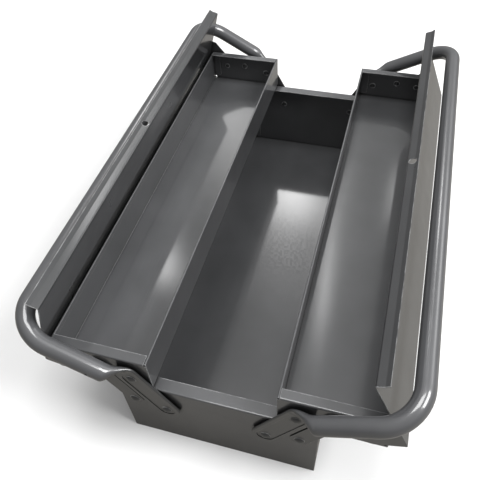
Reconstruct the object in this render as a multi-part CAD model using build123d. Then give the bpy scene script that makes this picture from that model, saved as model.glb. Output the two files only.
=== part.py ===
from build123d import *
import os
from math import cos, sin, radians, asin, hypot

# Cantilever tool box of folded sheet steel, standing open.
# X runs across the box (right side +X), Y along it (front is -Y), Z up.
# Origin: middle of the bottom face of the base.  Millimetres.

# ---------------------------------------------------------------- driving sizes
T = 1.0                      # sheet thickness
HALF_L = 250.0               # half length of base and trays (outer faces of the ends)

BASE_HALF_W = 98.0
BASE_H = 102.0
BASE_RIM = 13.0              # inward rim on the base ends

TRAY_X0 = 59.5               # inner long wall, outer face (right tray, open)
TRAY_X1 = 157.0              # outer long wall, outer face
TRAY_Z0 = 104.04
TRAY_Z1 = 147.0
TRAY_OUTER_TOP = 146.0       # the outer long wall stops lower, under the turning lid
TRAY_RIM = 10.0

HEM_T = 2.0                  # hemmed top edge of the long walls
HEM_H = 6.0
TAB_W = 10.0                 # corner tabs of the long walls, behind the ends

# pivots in (x, z), right side, box open
B1 = (49.35, 71.66)          # handle on base
T1 = (77.04, 121.6)          # handle on tray
B2 = (81.35, 79.16)          # strap on base
T2 = (109.04, 129.1)         # strap on tray
T3 = (135.5, 126.5)          # lid on tray

LINK_INNER = 251.6           # inner face of handle flats and straps, from the middle plane
ARM_W = 27.0                 # flattened handle end: width
ARM_T = 2.8                  # and thickness
ARM_FLAT_PAST_T1 = 8.0       # flat runs this far past the tray pivot
ARM_VALLEY_W = 17.0          # shallow valley pressed along the flat, a bead left each side
ARM_VALLEY_D = 0.6
STRAP_W = 18.0
STRAP_T = 2.0

TUBE_R = 8.5
TUBE_WALL = 1.2
TUBE_INNER_Y = 254.7         # inner side of the handle legs
GRIP = (171.7, 184.5)        # axis of the grip (x, z), open
LEG_START = 82.0             # distance from the grip axis back to the round end of the leg
LEG_TILT = 28.5              # slope of the legs in degrees, open
BEND_R = 33.0                # centre-line radius of the handle corners
VENT_R = 1.4

PIN_R = 2.9                  # rivet shanks of the links
PIN_CLEAR = 0.07             # running clearance on the moving piece
PIN_FIT = 0.02               # in the panel and washers
OPEN_PIVOT_CLEAR = 0.12      # strap hole on the tray rivet
HEAD_R = 5.3
HEAD_H = 2.5
TAIL_R = 4.1
TAIL_H = 1.3
LID_PIN_R = 2.4
LID_HEAD_R = 4.8
LID_HEAD_H = 1.7
WASHER_R = 5.0
WASHER_T = 1.5

LID_T = 0.8                  # lid sheet
LID_TOP = 29.75              # outer face of the lid above its pivot, lid shut
LID_U0 = -74.6               # free edge (centre side), face of the lip
LID_U1 = 22.6                # outer face of the side flange
LID_FLANGE = 12.2
LID_LIP = 11.5
LID_END = 251.3              # outer face of the ears
LID_OPEN_LEFT = 75.0         # degrees from shut, as it stands
LID_OPEN_RIGHT = 66.8

os.makedirs("parts", exist_ok=True)


# ---------------------------------------------------------------- helpers
def pick(face, pts, tol=0.02):
    out = []
    for v in face.vertices():
        for p in pts:
            if abs(v.X - p[0]) < tol and abs(v.Z - p[1]) < tol:
                out.append(v)
                break
    return out


def face_xz(points, y=0.0):
    pts = [(p[0], y, p[1]) for p in points]
    return Face(Wire(Polyline(*pts, close=True).edges()))


def rounded_xz(points, radii, y=0.0):
    """Closed outline in the XZ plane, with a radius for each corner (0 = sharp)."""
    f = face_xz(points, y)
    for r in sorted(set(radii)):
        if r > 0:
            sel = [p for p, q in zip(points, radii) if q == r]
            f = fillet(pick(f, sel), r)
            if isinstance(f, (Sketch, Compound)):
                f = f.faces()[0]
    return f


def along_y(face, y0, y1):
    """Prism of an XZ face that lies at y = y0, up to y1."""
    return extrude(face, amount=y1 - y0, dir=(0, 1, 0))


def box(x0, x1, y0, y1, z0, z1):
    return Pos((x0 + x1) / 2, (y0 + y1) / 2, (z0 + z1) / 2) * Box(x1 - x0, y1 - y0, z1 - z0)


def bore_y(x, z, r, y0, y1):
    return Pos(x, (y0 + y1) / 2, z) * Rot(90, 0, 0) * Cylinder(r, abs(y1 - y0))


def cap_mid(a, h):
    """Mid point (radius, height) of a spherical cap, base radius a and height h."""
    rr = (a * a + h * h) / (2 * h)
    half = asin(min(1.0, a / rr)) / 2
    return rr * sin(half), h - rr + rr * cos(half)


def rivet(head_r, head_h, shank_r, grip, tail_r, tail_h):
    """Dome-headed rivet on +Z: the tail ends at 0, the head sits at grip."""
    hm = cap_mid(head_r, head_h)
    tm = cap_mid(tail_r, tail_h)

    def p(r, s):
        return (r, 0, s)

    edges = [
        Line(p(0, grip + head_h), p(0, -tail_h)),
        ThreePointArc(p(0, -tail_h), p(tm[0], -tm[1]), p(tail_r, 0)),
        Line(p(tail_r, 0), p(shank_r, 0)),
        Line(p(shank_r, 0), p(shank_r, grip)),
        Line(p(shank_r, grip), p(head_r, grip)),
        ThreePointArc(p(head_r, grip), p(hm[0], grip + hm[1]), p(0, grip + head_h)),
    ]
    f = Face(Wire([e.edge() for e in edges]))
    return revolve(f, Axis.Z, 360)


def at_front(shape, x, z, y):
    """Put a +Z piece with its axis on -Y, its zero at y."""
    return Pos(x, y, z) * Rot(90, 0, 0) * shape


def mirror_y(shape):
    return mirror(shape, about=Plane.XZ)


def mirror_x(shape):
    return mirror(shape, about=Plane.YZ)


def save(name, *shapes):
    solids = []
    for s in shapes:
        solids += list(s.solids())
    out = solids[0] if len(solids) == 1 else Compound(children=solids)
    out.label = name
    export_step(out, "parts/" + name + ".step")


# ---------------------------------------------------------------- folded trays
def trough(x0, x1, z0, z1, tab_w, tab_low, tab_top, out_top):
    """Floor and two long walls from one sheet, hemmed on top, tabs at the ends."""
    h, hh = HEM_T, HEM_H
    pts = [(x0, z0), (x1, z0), (x1, out_top), (x1 - h, out_top), (x1 - h, out_top - hh),
           (x1 - T, out_top - hh), (x1 - T, z0 + T), (x0 + T, z0 + T),
           (x0 + T, z1 - hh), (x0 + h, z1 - hh), (x0 + h, z1), (x0, z1)]
    rad = [1.8, 1.8, 0.9, 0.9, 0.3, 0, 0.8, 0.8, 0, 0.3, 0.9, 0.9]
    ye = HALF_L - T
    body = along_y(rounded_xz(pts, rad, -ye), -ye, ye)
    for s in (-1, 1):
        ya, yb = sorted((s * ye, s * (ye - T)))
        for xa, xb in ((x0 + T - 0.01, x0 + T + tab_w), (x1 - T - tab_w, x1 - T + 0.01)):
            tab = box(xa, xb, ya, yb, z0 + tab_low, z1 - tab_top)
            inner = xb if xa < (x0 + x1) / 2 else xa
            corner = [e for e in tab.edges().filter_by(Axis.Y) if abs(e.center().X - inner) < 0.02]
            tab = fillet(corner, 2.5)
            body = body + tab
    return body


def end_panel(x0, x1, z0, z1, rim, holes, reliefs=()):
    """Front end panel (at -Y) with its top folded inward, and the rivet holes."""
    y = -HALF_L
    side = HEM_T + 0.15
    outer = [(y, z0 + 0.5), (y, z1), (y + rim, z1), (y + rim, z1 - T), (y + T, z1 - T), (y + T, z0 + 0.5)]
    f = Face(Wire(Polyline(*[(x0 + side, a, b) for a, b in outer], close=True).edges()))
    vs = [v for v in f.vertices() if abs(v.Y - y) < 0.02 and abs(v.Z - z1) < 0.02]
    f = fillet(vs, 1.6)
    f = f.faces()[0] if not isinstance(f, Face) else f
    vs = [v for v in f.vertices() if abs(v.Y - y - T) < 0.02 and abs(v.Z - z1 + T) < 0.02]
    f = fillet(vs, 0.6)
    f = f.faces()[0] if not isinstance(f, Face) else f
    rimmed = extrude(f, amount=x1 - x0 - 2 * side, dir=(1, 0, 0))
    plate = box(x0, x1, y, y + T, z0, z1 - 2.0)
    upright = [e for e in plate.edges().filter_by(Axis.Z) if abs(e.center().Y - y) < 0.02]
    plate = fillet(upright, 0.8)
    panel = plate + rimmed
    for (hx, hz, hr) in holes:
        panel = panel - bore_y(hx, hz, hr, y - 1, y + T + 1)
    for (hx, hz, hr) in reliefs:
        panel = panel - bore_y(hx, hz, hr, y - 1, y + T + 1)
    return panel


# ---------------------------------------------------------------- handle
def section(center, tang, w, h, k):
    """Ring of four edges: k = 0 flat with round sides, k = 1 round.
    center (x, y, z); tang (dx, dz) in the XZ plane; w across, h along Y."""
    nx, nz = -tang[1], tang[0]
    cx, cy, cz = center

    def p(a, b):
        return (cx + nx * a, cy + b, cz + nz * a)

    a = (1 - k) * (w / 2 - h / 2) + k * (w / 2 * 0.70710678)
    b = h / 2 * ((1 - k) * 1.0 + k * 0.70710678)
    if k < 1e-6:
        top = Line(p(-a, b), p(a, b))
        bot = Line(p(a, -b), p(-a, -b))
    else:
        top = ThreePointArc(p(-a, b), p(0, h / 2), p(a, b))
        bot = ThreePointArc(p(a, -b), p(0, -h / 2), p(-a, -b))
    right = ThreePointArc(p(a, b), p(w / 2, 0), p(a, -b))
    left = ThreePointArc(p(-a, -b), p(-w / 2, 0), p(-a, b))
    return Wire([top.edge(), right.edge(), bot.edge(), left.edge()])


def smooth(s):
    return s * s * (3 - 2 * s)


ARM_LEN = hypot(T1[0] - B1[0], T1[1] - B1[1])
ARM_DIR = ((T1[0] - B1[0]) / ARM_LEN, (T1[1] - B1[1]) / ARM_LEN)
Q0 = (T1[0] + ARM_FLAT_PAST_T1 * ARM_DIR[0], T1[1] + ARM_FLAT_PAST_T1 * ARM_DIR[1])
LEG_DIR = (cos(radians(LEG_TILT)), sin(radians(LEG_TILT)))
Q3 = (GRIP[0] - LEG_START * LEG_DIR[0], GRIP[1] - LEG_START * LEG_DIR[1])
TUBE_Y = TUBE_INNER_Y + TUBE_R


def bend_sections(n=7):
    """Rings from the flat to the round tube, along a smooth bend, front end."""
    reach = 0.36 * hypot(Q3[0] - Q0[0], Q3[1] - Q0[1])
    c = [Q0,
         (Q0[0] + reach * ARM_DIR[0], Q0[1] + reach * ARM_DIR[1]),
         (Q3[0] - reach * LEG_DIR[0], Q3[1] - reach * LEG_DIR[1]),
         Q3]
    rings = []
    for i in range(n + 1):
        s = i / n
        x = sum(w * q[0] for w, q in zip(((1 - s) ** 3, 3 * s * (1 - s) ** 2, 3 * s * s * (1 - s), s ** 3), c))
        z = sum(w * q[1] for w, q in zip(((1 - s) ** 3, 3 * s * (1 - s) ** 2, 3 * s * s * (1 - s), s ** 3), c))
        dx = sum(w * (c[j + 1][0] - c[j][0]) for j, w in enumerate(((1 - s) ** 2, 2 * s * (1 - s), s * s)))
        dz = sum(w * (c[j + 1][1] - c[j][1]) for j, w in enumerate(((1 - s) ** 2, 2 * s * (1 - s), s * s)))
        d = hypot(dx, dz)
        k = smooth(min(1.0, max(0.0, (s - 0.12) / 0.72)))
        w = ARM_W + (2 * TUBE_R - ARM_W) * smooth(min(1.0, 1.8 * s))
        h = ARM_T + (2 * TUBE_R - ARM_T) * k
        inner = LINK_INNER + (TUBE_INNER_Y - LINK_INNER) * k
        rings.append((section((x, -(inner + h / 2), z), (dx / d, dz / d), w, h, k),
                      (x, z, dx / d, dz / d, w)))
    return rings


def handle():
    """Right handle: two flattened ends (inner links), two legs and the grip."""
    yc = -(LINK_INNER + ARM_T / 2)
    flat = Face(section((B1[0], yc, B1[1]), ARM_DIR, ARM_W, ARM_T, 0))
    reach = hypot(Q0[0] - B1[0], Q0[1] - B1[1])
    arm = extrude(flat, amount=reach, dir=(ARM_DIR[0], 0, ARM_DIR[1]))
    # round end about the base pivot
    r = ARM_W / 2
    h = ARM_T / 2
    edges = [Line((0, 0, -h), (r - h, 0, -h)),
             ThreePointArc((r - h, 0, -h), (r, 0, 0), (r - h, 0, h)),
             Line((r - h, 0, h), (0, 0, h)),
             Line((0, 0, h), (0, 0, -h))]
    disc = revolve(Face(Wire([e.edge() for e in edges])), Axis.Z, 360)
    disc = Pos(B1[0], yc, B1[1]) * Rot(90, 0, 0) * disc
    rings = [w for w, _ in bend_sections()]
    neck = Solid.make_loft(rings)
    end = arm + disc + neck
    # the valley between the two beads of the pressed-flat tube
    outer = LINK_INNER + ARM_T
    mid = ((B1[0] + T1[0]) / 2, (B1[1] + T1[1]) / 2)
    pl = Plane(origin=(mid[0], -outer - 0.5, mid[1]), x_dir=(ARM_DIR[0], 0, ARM_DIR[1]), z_dir=(0, -1, 0))
    valley = extrude(pl * SlotCenterToCenter(ARM_LEN, ARM_VALLEY_W), amount=-(ARM_VALLEY_D + 0.5))
    end = end - valley
    for (hx, hz) in (B1, T1):
        end = end - bore_y(hx, hz, PIN_R + PIN_CLEAR, -LINK_INNER + 1, -LINK_INNER - ARM_T - 1)

    p0 = (Q3[0], -TUBE_Y, Q3[1])
    p1 = (GRIP[0], -TUBE_Y, GRIP[1])
    p2 = (GRIP[0], TUBE_Y, GRIP[1])
    p3 = (Q3[0], TUBE_Y, Q3[1])
    path = FilletPolyline(p0, p1, p2, p3, radius=BEND_R)
    start = Plane(origin=p0, z_dir=(LEG_DIR[0], 0, LEG_DIR[1]))
    tube = sweep(start * Circle(TUBE_R), path=path.wire() if hasattr(path, "wire") else path)
    # hollow from 4 mm past each flattened end
    q0 = (p0[0] + 4 * LEG_DIR[0], p0[1], p0[2] + 4 * LEG_DIR[1])
    q3 = (q0[0], TUBE_Y, q0[2])
    inner = FilletPolyline(q0, p1, p2, q3, radius=BEND_R)
    start2 = Plane(origin=q0, z_dir=(LEG_DIR[0], 0, LEG_DIR[1]))
    bore = sweep(start2 * Circle(TUBE_R - TUBE_WALL), path=inner.wire() if hasattr(inner, "wire") else inner)
    whole = end + mirror_y(end) + tube - bore
    # vent hole in the outer side of one leg
    vx = q0[0] + 3.5 * LEG_DIR[0]
    vz = q0[2] + 3.5 * LEG_DIR[1]
    vent = bore_y(vx, vz, VENT_R, TUBE_Y + 1, TUBE_Y + TUBE_R + 3)
    return whole - vent


def strap():
    ln = hypot(T2[0] - B2[0], T2[1] - B2[1])
    d = ((T2[0] - B2[0]) / ln, (T2[1] - B2[1]) / ln)
    mid = ((B2[0] + T2[0]) / 2, (B2[1] + T2[1]) / 2)
    pl = Plane(origin=(mid[0], -LINK_INNER, mid[1]), x_dir=(d[0], 0, d[1]), z_dir=(0, -1, 0))
    s = extrude(pl * SlotCenterToCenter(ln, STRAP_W), amount=STRAP_T, dir=(0, -1, 0))
    rim = [e for e in s.edges() if abs(e.center().Y + LINK_INNER + STRAP_T) < 0.01]
    s = fillet(rim, 0.5)
    s = s - bore_y(B2[0], B2[1], PIN_R + PIN_CLEAR, -LINK_INNER + 1, -LINK_INNER - STRAP_T - 1)
    s = s - bore_y(T2[0], T2[1], PIN_R + OPEN_PIVOT_CLEAR, -LINK_INNER + 1, -LINK_INNER - STRAP_T - 1)
    return s


# ---------------------------------------------------------------- lid
def lid(angle):
    """Right lid about its pivot line, turned outward by angle from shut."""
    t = LID_T
    v0 = LID_TOP - t
    u0, u1 = LID_U0, LID_U1
    lean = 1.2
    crease = v0 + 8.0
    top = LID_TOP + LID_LIP
    pts = [(u0 - lean, top), (u0, crease), (u0, v0), (u1 - t, v0), (u1 - t, LID_TOP - LID_FLANGE),
           (u1, LID_TOP - LID_FLANGE), (u1, LID_TOP), (u0 + t, LID_TOP), (u0 + t, crease + 0.1),
           (u0 + t - lean, top)]
    rad = [0, 3.0, 1.8, 0.6, 0, 0, 1.4, 1.0, 2.9, 0]
    ye = LID_END - 0.9
    sheet = along_y(rounded_xz(pts, rad, -ye), -ye, ye)
    # ears: the ends folded down over the pivots, from the side flange inwards
    ear_pts = [(-29.5, LID_TOP), (-29.5, 24.3), (-6.5, -8.0), (u1, -8.0), (u1, LID_TOP)]
    ear_rad = [0, 4.0, 9.0, 11.0, 1.4]
    ear = along_y(rounded_xz(ear_pts, ear_rad, -LID_END), -LID_END, -LID_END + T)
    fold = [e for e in ear.edges() if abs(e.center().Y + LID_END) < 0.01
            and e.center().Z > LID_TOP - 0.01]
    ear = fillet(fold, 0.7)
    whole = sheet + ear + mirror_y(ear)
    for s in (-1, 1):
        whole = whole - bore_y(0, 0, LID_PIN_R + PIN_CLEAR, s * (LID_END + 1), s * (LID_END - T - 1))
    lock = Pos(u0, 0, LID_TOP + 5.0) * Rot(0, 90, 0) * Cylinder(3.9, 8)
    whole = whole - lock
    return Pos(T3[0], 0, T3[1]) * Rot(0, angle, 0) * whole


# ---------------------------------------------------------------- build the pieces
base = trough(-BASE_HALF_W, BASE_HALF_W, 0.0, BASE_H, 9.5, 5.0, 1.6, BASE_H)
save("base_body", base)

fit = PIN_R + PIN_FIT
base_holes = [(s * p[0], p[1], fit) for s in (-1, 1) for p in (B1, B2)]
base_front = end_panel(-BASE_HALF_W, BASE_HALF_W, 0.0, BASE_H, BASE_RIM, base_holes)
save("base_front_panel", base_front)
save("base_back_panel", mirror_y(base_front))

tray = trough(TRAY_X0, TRAY_X1, TRAY_Z0, TRAY_Z1, TAB_W, 5.0, 2.4, TRAY_OUTER_TOP)
tray_holes = [(T1[0], T1[1], fit), (T2[0], T2[1], fit), (T3[0], T3[1], LID_PIN_R + PIN_FIT)]
reliefs = [(TRAY_X0 + 2.4, TRAY_Z0 + 2.6, 1.3), (TRAY_X1 - 2.4, TRAY_Z0 + 2.6, 1.3)]
tray_front = end_panel(TRAY_X0, TRAY_X1, TRAY_Z0, TRAY_Z1, TRAY_RIM, tray_holes, reliefs)
tray_back = mirror_y(tray_front)
save("right_tray_body", tray)
save("right_tray_front_panel", tray_front)
save("right_tray_back_panel", tray_back)
save("left_tray_body", mirror_x(tray))
save("left_tray_front_panel", mirror_x(tray_front))
save("left_tray_back_panel", mirror_x(tray_back))

h = handle()
save("right_handle", h)
# the vent hole is at the back on the right handle and at the front on the left one
save("left_handle", mirror_x(mirror_y(h)))

st = strap()
save("right_front_strap", st)
save("right_back_strap", mirror_y(st))
save("left_front_strap", mirror_x(st))
save("left_back_strap", mirror_x(mirror_y(st)))

save("right_lid", lid(LID_OPEN_RIGHT))
save("left_lid", mirror_x(lid(LID_OPEN_LEFT)))

stack = HALF_L - T
r_arm = rivet(HEAD_R, HEAD_H, PIN_R, LINK_INNER + ARM_T - ARM_VALLEY_D + 0.05 - stack, TAIL_R, TAIL_H)
r_strap = rivet(HEAD_R, HEAD_H, PIN_R, LINK_INNER + STRAP_T + 0.05 - stack, TAIL_R, TAIL_H)
r_lid = rivet(LID_HEAD_R, LID_HEAD_H, LID_PIN_R, LID_END + 0.05 - stack, 3.6, 1.1)


def ends(piece):
    return [piece, mirror_y(piece)]


def sides(pieces):
    return pieces + [mirror_x(p) for p in pieces]


save("base_handle_rivets", *sides(ends(at_front(r_arm, B1[0], B1[1], -stack))))
save("base_strap_rivets", *sides(ends(at_front(r_strap, B2[0], B2[1], -stack))))
for side in ("right", "left"):
    flip = (lambda p: p) if side == "right" else mirror_x
    save(side + "_tray_handle_rivets", *[flip(p) for p in ends(at_front(r_arm, T1[0], T1[1], -stack))])
    save(side + "_tray_strap_rivets", *[flip(p) for p in ends(at_front(r_strap, T2[0], T2[1], -stack))])
    save(side + "_tray_lid_rivets", *[flip(p) for p in ends(at_front(r_lid, T3[0], T3[1], -stack))])

ring = Cylinder(WASHER_R, WASHER_T) - Cylinder(fit, WASHER_T + 1)
ring = Pos(0, 0, WASHER_T / 2) * ring
base_w = [at_front(ring, p[0], p[1], -HALF_L) for p in (B1, B2)]
save("base_spacers", *sides([q for p in base_w for q in ends(p)]))
tray_w = [at_front(ring, p[0], p[1], -HALF_L) for p in (T1, T2)]
tray_w = [q for p in tray_w for q in ends(p)]
save("right_tray_spacers", *tray_w)
save("left_tray_spacers", *[mirror_x(p) for p in tray_w])
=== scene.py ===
from math import atan, radians, sin, cos

import bmesh
import bpy
from mathutils import Matrix, Vector

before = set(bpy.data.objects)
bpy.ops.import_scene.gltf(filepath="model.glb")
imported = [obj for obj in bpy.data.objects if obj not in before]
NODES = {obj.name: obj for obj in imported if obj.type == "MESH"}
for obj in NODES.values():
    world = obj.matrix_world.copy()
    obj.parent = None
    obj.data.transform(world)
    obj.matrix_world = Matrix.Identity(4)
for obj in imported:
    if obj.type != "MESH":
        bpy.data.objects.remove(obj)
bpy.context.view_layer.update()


# ------------------------------------------------------------------ node helpers
class Tree:
    def __init__(self, name):
        self.mat = bpy.data.materials.new(name)
        self.mat.use_nodes = True
        self.t = self.mat.node_tree
        self.t.nodes.clear()
        self.out = self.new("ShaderNodeOutputMaterial")
        self.bsdf = self.new("ShaderNodeBsdfPrincipled")
        self.link(self.bsdf.outputs[0], self.out.inputs[0])
        self.coord = self.new("ShaderNodeTexCoord").outputs["Object"]

    def new(self, kind):
        return self.t.nodes.new(kind)

    def link(self, a, b):
        self.t.links.new(a, b)

    def set(self, node, **kw):
        for k, v in kw.items():
            setattr(node, k, v)
        return node

    def noise(self, scale, detail=3.0, rough=0.5, distort=0.0, vec=None):
        n = self.new("ShaderNodeTexNoise")
        n.inputs["Scale"].default_value = scale
        n.inputs["Detail"].default_value = detail
        n.inputs["Roughness"].default_value = rough
        n.inputs["Distortion"].default_value = distort
        self.link(vec or self.coord, n.inputs["Vector"])
        return n.outputs["Fac"]

    def stretch(self, sx, sy, sz, rot=(0, 0, 0)):
        m = self.new("ShaderNodeMapping")
        m.inputs["Scale"].default_value = (sx, sy, sz)
        m.inputs["Rotation"].default_value = rot
        self.link(self.coord, m.inputs["Vector"])
        return m.outputs[0]

    def ramp(self, value, a, b, lo=0.0, hi=1.0):
        n = self.new("ShaderNodeMapRange")
        n.interpolation_type = "SMOOTHSTEP"
        n.inputs["From Min"].default_value = a
        n.inputs["From Max"].default_value = b
        n.inputs["To Min"].default_value = lo
        n.inputs["To Max"].default_value = hi
        self.link(value, n.inputs["Value"])
        return n.outputs[0]

    def math(self, op, a, b):
        n = self.new("ShaderNodeMath")
        n.operation = op
        for i, v in enumerate((a, b)):
            if isinstance(v, (int, float)):
                n.inputs[i].default_value = v
            else:
                self.link(v, n.inputs[i])
        return n.outputs[0]

    def mix(self, fac, a, b):
        n = self.new("ShaderNodeMix")
        n.data_type = "RGBA"
        for sock, v in ((n.inputs["Factor"], fac), (n.inputs[6], a), (n.inputs[7], b)):
            if isinstance(v, (tuple, float, int)):
                sock.default_value = v if not isinstance(v, tuple) else (*v, 1.0)
            else:
                self.link(v, sock)
        return n.outputs[2]

    def bump(self, height, strength, distance, normal=None):
        n = self.new("ShaderNodeBump")
        n.inputs["Strength"].default_value = strength
        n.inputs["Distance"].default_value = distance
        self.link(height, n.inputs["Height"])
        if normal is not None:
            self.link(normal, n.inputs["Normal"])
        return n.outputs[0]

    def edge(self, radius):
        """1 along convex or concave edges, 0 on the flats."""
        b = self.new("ShaderNodeBevel")
        b.samples = 4
        b.inputs["Radius"].default_value = radius
        g = self.new("ShaderNodeNewGeometry")
        d = self.new("ShaderNodeVectorMath")
        d.operation = "DOT_PRODUCT"
        self.link(b.outputs[0], d.inputs[0])
        self.link(g.outputs["Normal"], d.inputs[1])
        return self.ramp(d.outputs["Value"], 0.985, 0.80)

    def corner(self, distance):
        """How open the surface is: 1 on the flats, low in inside corners and seams."""
        n = self.new("ShaderNodeAmbientOcclusion")
        n.samples = 6
        n.inputs["Distance"].default_value = distance
        return n.outputs["AO"]


def enamel(name, dark, light, rough, coat, wear_and_edge_glint, peel=1.0, wave=1.0, metal=0.0, shade_below_z=None):
    """Glossy stoved enamel over sheet steel: two close greys, orange peel, faint sheet
    waviness, thin paint along the edges with a painted highlight on them, painted shade in the inside corners and a few
    handling scuffs."""
    t = Tree(name)
    p = t.bsdf
    broad = t.noise(9.0, 2.0, 0.5)
    cloud = t.noise(30.0, 2.0, 0.5)
    tone = t.math("ADD", t.math("MULTIPLY", broad, 0.6), t.math("MULTIPLY", cloud, 0.4))
    col = t.mix(t.ramp(tone, 0.25, 0.75), dark, light)
    if shade_below_z is not None:
        # painted shade: the flattened ends of the handles are darkened below this height
        xyz = t.new("ShaderNodeSeparateXYZ")
        t.link(t.coord, xyz.inputs[0])
        painted_low_shade = t.ramp(xyz.outputs[2], shade_below_z, shade_below_z - 0.016, 0.0, 0.75)
        col = t.mix(painted_low_shade, col, (0.017, 0.0172, 0.0172))
    # fine hairline rubs along the box, only where a broad patch lets them show
    hair = t.noise(1.0, 3.0, 0.55, 0.0, t.stretch(900.0, 5.0, 900.0, (0.0, 0.0, 0.04)))
    patch = t.ramp(t.noise(13.0, 2.0, 0.5), 0.48, 0.70)
    scr = t.math("MULTIPLY", t.ramp(hair, 0.60, 0.74), patch)
    col = t.mix(t.math("MULTIPLY", scr, 0.10 * wear_and_edge_glint), col, (0.20, 0.20, 0.20))
    # thin paint on the edges, showing lighter, plus a painted highlight along the edges
    clear = t.corner(0.0045)
    e = t.math("MULTIPLY", t.edge(0.0011), t.ramp(clear, 0.70, 0.92))
    edge_wear_and_highlight = t.math("MULTIPLY", e, t.ramp(t.noise(120.0, 4.0, 0.65), 0.36, 0.60, 0.30, 1.0))
    col = t.mix(t.math("MULTIPLY", edge_wear_and_highlight, min(1.0, 0.80 * wear_and_edge_glint)), col, (0.52, 0.525, 0.53))
    # painted shade: the inside corners and the gaps between pieces are darkened where the surface is closed in
    painted_corner_shade = t.ramp(clear, 0.86, 0.50, 0.0, 0.85)
    col = t.mix(painted_corner_shade, col, (0.008, 0.008, 0.008))
    t.link(col, p.inputs["Base Color"])
    r = t.ramp(t.noise(22.0, 3.0, 0.55), 0.20, 0.80, rough - 0.03, rough + 0.05)
    r = t.math("ADD", r, t.math("MULTIPLY", scr, 0.10))
    # the painted-shade mask also makes the corners rougher
    r = t.math("ADD", r, t.math("MULTIPLY", painted_corner_shade, 0.25))
    t.link(r, p.inputs["Roughness"])
    p.inputs["Metallic"].default_value = metal
    p.inputs["IOR"].default_value = 1.52
    p.inputs["Specular IOR Level"].default_value = 0.32
    p.inputs["Coat Weight"].default_value = coat
    p.inputs["Coat Roughness"].default_value = 0.09
    p.inputs["Coat IOR"].default_value = 1.5
    n1 = t.bump(t.noise(5.5, 1.0, 0.3), 1.0, 0.0008 * wave) if wave else None
    n2 = t.bump(t.noise(620.0, 1.0, 0.4), 0.20 * peel, 0.000012, n1)
    t.link(n2, p.inputs["Normal"])
    t.link(n2, p.inputs["Coat Normal"])
    return t.mat


MAT_SHEET = enamel("sheet_enamel_look", (0.047, 0.048, 0.050), (0.064, 0.065, 0.068), 0.34, 1.0, 1.0)
# the lids: the same enamel painted darker, as painted shade
MAT_LID_SHADED = enamel("lid_enamel_shaded_look", (0.026, 0.0267, 0.028), (0.036, 0.037, 0.0385), 0.30, 1.0, 1.0, wave=0.5)
MAT_TUBE = enamel("tube_enamel_look", (0.062, 0.063, 0.066), (0.078, 0.079, 0.083), 0.34, 1.0, 0.3, wave=0.0, shade_below_z=0.152)
# the straps: the same enamel painted darker, as painted shade
MAT_LINK_SHADED = enamel("link_enamel_shaded_look", (0.019, 0.0195, 0.020), (0.030, 0.0305, 0.0315), 0.32, 0.9, 1.1, wave=0.0)
# the rivets and spacers: the same enamel painted darker, as painted shade
MAT_RIVET_SHADED = enamel("rivet_enamel_shaded_look", (0.018, 0.0185, 0.020), (0.032, 0.033, 0.034), 0.30, 0.9, 1.3, wave=0.0)

for name, ob in NODES.items():
    if "rivets" in name or "spacers" in name:
        m = MAT_RIVET_SHADED
    elif name.endswith("_handle"):
        m = MAT_TUBE
    elif name.endswith("strap"):
        m = MAT_LINK_SHADED
    elif name.endswith("_lid"):
        m = MAT_LID_SHADED
    else:
        m = MAT_SHEET
    ob.data.materials.clear()
    ob.data.materials.append(m)


# ------------------------------------------------------------------ stage
def material_floor():
    t = Tree("pale_floor_look")
    n = t.noise(3.0, 3.0, 0.5)
    # pale where it is seen; darker for what the box mirrors and gathers from it, as the
    # room's floor was
    pale = t.mix(n, (0.76, 0.76, 0.757), (0.785, 0.785, 0.785))
    dull = t.mix(n, (0.185, 0.178, 0.165), (0.215, 0.208, 0.194))
    seen = t.new("ShaderNodeLightPath").outputs["Is Camera Ray"]
    t.link(t.mix(seen, dull, pale), t.bsdf.inputs["Base Color"])
    t.bsdf.inputs["Roughness"].default_value = 0.75
    t.bsdf.inputs["Specular IOR Level"].default_value = 0.2
    return t.mat


bm = bmesh.new()
bmesh.ops.create_grid(bm, x_segments=8, y_segments=8, size=6.0)
me = bpy.data.meshes.new("floor")
bm.to_mesh(me)
bm.free()
floor = bpy.data.objects.new("floor", me)
bpy.context.scene.collection.objects.link(floor)
floor.location = (0, 0, -0.0002)
me.materials.append(material_floor())


# ------------------------------------------------------------------ light
def area(name, loc, target, size, size_y, energy, color=(1, 1, 1)):
    d = bpy.data.lights.new(name, "AREA")
    d.shape = "RECTANGLE"
    d.size = size
    d.size_y = size_y
    d.energy = energy
    d.color = color
    o = bpy.data.objects.new(name, d)
    bpy.context.scene.collection.objects.link(o)
    o.location = loc
    v = Vector(target) - Vector(loc)
    o.rotation_euler = v.to_track_quat("-Z", "Y").to_euler()
    return o


area("overhead", (0.0, -0.05, 2.2), (0, 0, 0.05), 1.0, 0.8, 28)
area("side", (1.55, -0.15, 1.95), (0, 0, 0.08), 1.2, 0.9, 58)

w = bpy.data.worlds.new("studio")
bpy.context.scene.world = w
w.use_nodes = True
wt = w.node_tree
wt.nodes.clear()
wout = wt.nodes.new("ShaderNodeOutputWorld")
wbg = wt.nodes.new("ShaderNodeBackground")
wt.links.new(wbg.outputs[0], wout.inputs[0])
wdir = wt.nodes.new("ShaderNodeTexCoord").outputs["Generated"]


def wmath(op, a, b=0.0):
    n = wt.nodes.new("ShaderNodeMath")
    n.operation = op
    for i, v in enumerate((a, b)):
        if isinstance(v, (int, float)):
            n.inputs[i].default_value = v
        else:
            wt.links.new(v, n.inputs[i])
    return n.outputs[0]


def wdot(v):
    n = wt.nodes.new("ShaderNodeVectorMath")
    n.operation = "DOT_PRODUCT"
    wt.links.new(wdir, n.inputs[0])
    n.inputs[1].default_value = tuple(v)
    return n.outputs["Value"]


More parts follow.
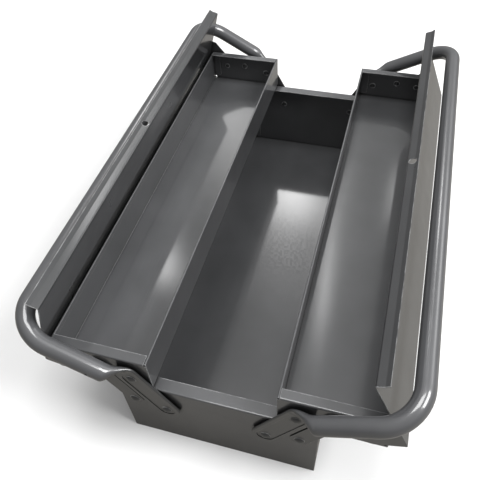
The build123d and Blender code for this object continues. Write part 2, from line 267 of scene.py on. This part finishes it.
def glow(azimuth, elevation, wide, high_up, high_down, peak):
    """Soft light far away: azimuth from +Y towards +X, all in degrees; its edges fade."""
    az, el = radians(azimuth), radians(elevation)
    d = Vector((sin(az) * cos(el), cos(az) * cos(el), sin(el)))
    side = Vector((cos(az), -sin(az), 0.0))
    up = side.cross(d).normalized()
    if up.z < 0:
        up = -up
    u = wmath("DIVIDE", wdot(side), sin(radians(wide)))
    v = wdot(up)
    vu = wmath("DIVIDE", wmath("MAXIMUM", v, 0.0), sin(radians(high_up)))
    vd = wmath("DIVIDE", wmath("MINIMUM", v, 0.0), sin(radians(high_down)))
    q = wmath("ADD", wmath("MULTIPLY", u, u), wmath("ADD", wmath("MULTIPLY", vu, vu), wmath("MULTIPLY", vd, vd)))
    g = wmath("EXPONENT", wmath("MULTIPLY", q, -0.5))
    front = wmath("GREATER_THAN", wdot(d), 0.0)
    return wmath("MULTIPLY", wmath("MULTIPLY", g, front), peak)


ambient = wmath("ADD", wmath("MULTIPLY", wmath("MAXIMUM", wdot((0, 0, 1)), 0.0), 0.72), 0.22)
total = wmath("ADD", ambient, glow(-11.4, 44.4, 2.2, 2.2, 3.2, 17.0))
total = wmath("ADD", total, glow(-31.5, 50.3, 1.0, 1.5, 1.6, 14.0))
total = wmath("ADD", total, glow(2.3, 44.0, 0.3, 1.7, 1.7, 8.0))
total = wmath("ADD", total, glow(44.0, 32.0, 9.0, 7.0, 7.0, 5.0))
total = wmath("ADD", total, glow(-12.0, 47.0, 3.4, 5.0, 4.0, 2.5))
total = wmath("ADD", total, glow(-5.6, 54.0, 0.36, 4.0, 5.0, 13.0))
total = wmath("ADD", total, glow(-19.0, 37.0, 2.4, 4.5, 3.0, 4.5))
# an even pale backdrop where the sky itself is in view, above the floor's far edge
backdrop = wt.nodes.new("ShaderNodeLightPath").outputs["Is Camera Ray"]
lit = wmath("MULTIPLY", total, wmath("SUBTRACT", 1.0, backdrop))
wt.links.new(wmath("ADD", lit, wmath("MULTIPLY", backdrop, 0.82)), wbg.inputs["Strength"])

# ------------------------------------------------------------------ camera
cam = bpy.data.cameras.new("cam")
cam.sensor_fit = "HORIZONTAL"
cam.sensor_width = 36.0
cam.lens = 567.11 / 480.0 * 36.0
cam.clip_start = 0.01
cam.clip_end = 50
co = bpy.data.objects.new("cam", cam)
bpy.context.scene.collection.objects.link(co)
right = Vector((0.96016, 0.27486, -0.05042))
down = Vector((0.17736, -0.73884, -0.65013))
fwd = Vector((-0.21594, 0.61529, -0.75814))
m = Matrix((right, -down, -fwd)).transposed().to_4x4()
m.translation = Vector((0.10880, -0.45202, 0.59353))
co.matrix_world = m
bpy.context.scene.camera = co

bpy.context.scene.view_settings.view_transform = "Standard"
bpy.context.scene.view_settings.look = "None"
